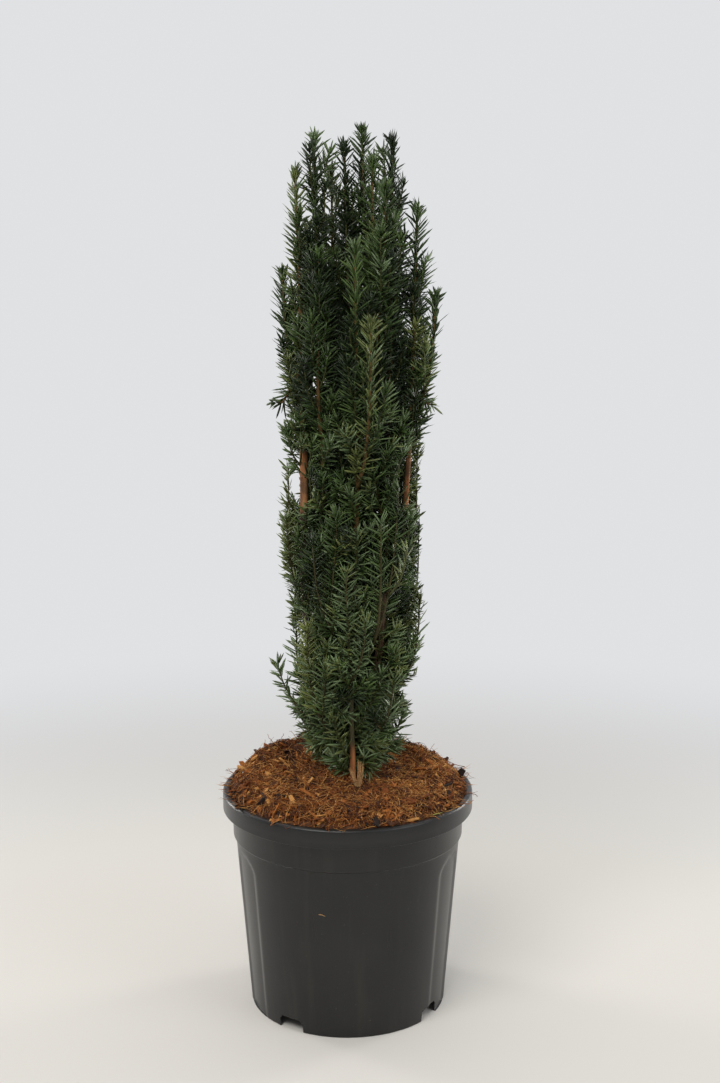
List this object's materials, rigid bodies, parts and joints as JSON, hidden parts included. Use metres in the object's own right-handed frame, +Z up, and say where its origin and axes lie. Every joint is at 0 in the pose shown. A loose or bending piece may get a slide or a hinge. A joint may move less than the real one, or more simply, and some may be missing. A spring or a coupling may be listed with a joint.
{
  "type": "potted english yew",
  "caption": "Upright, columnar English yew with dark green needles on steep boughs, growing in a round black nursery pot topped with coir mulch.",
  "frame": {"origin": "middle of the pot's underside, on the plane that it stands on", "axes": "+X to the right and +Y to the back as the picture shows the plant, +Z up along the trunk"},
  "size_m": [0.31, 0.31, 1.078],
  "materials": {
    "pot_plastic": "satin black moulded plastic, lightly scuffed and dusty",
    "coir_mulch": "loose orange-brown coir fibre and chips over potting mix",
    "bark": "thin flaking orange-brown bark, olive on young shoots",
    "needles": "dark green flat needles with a soft gloss, paler underneath"
  },
  "bodies": {
    "root": {"bough_back": "bark", "bough_back_left": "bark", "bough_back_right": "bark", "bough_centre_right": "bark", "bough_front": "bark", "bough_front_left": "bark", "bough_left": "bark", "bough_right": "bark", "bough_right_centre": "bark", "foliage_back": "needles", "foliage_back_left": "needles", "foliage_back_right": "needles", "foliage_centre": "needles", "foliage_centre_right": "needles", "foliage_foot_back": "needles", "foliage_foot_front": "needles", "foliage_foot_left": "needles", "foliage_foot_right": "needles", "foliage_front": "needles", "foliage_front_left": "needles", "foliage_front_stem": "needles", "foliage_left": "needles", "foliage_low_back": "needles", "foliage_low_back_left": "needles", "foliage_low_back_right": "needles", "foliage_low_front_left": "needles", "foliage_low_front_right": "needles", "foliage_low_left": "needles", "foliage_low_left_back": "needles", "foliage_low_right": "needles", "foliage_mid_back": "needles", "foliage_mid_back_left": "needles", "foliage_mid_back_right": "needles", "foliage_mid_front_left": "needles", "foliage_mid_front_right": "needles", "foliage_mid_left": "needles", "foliage_mid_left_back": "needles", "foliage_mid_right": "needles", "foliage_right": "needles", "foliage_right_centre": "needles", "front_stem": "bark", "pot": "pot_plastic", "potting_mix": "coir_mulch", "trunk": "bark"}
  },
  "joints": []
}
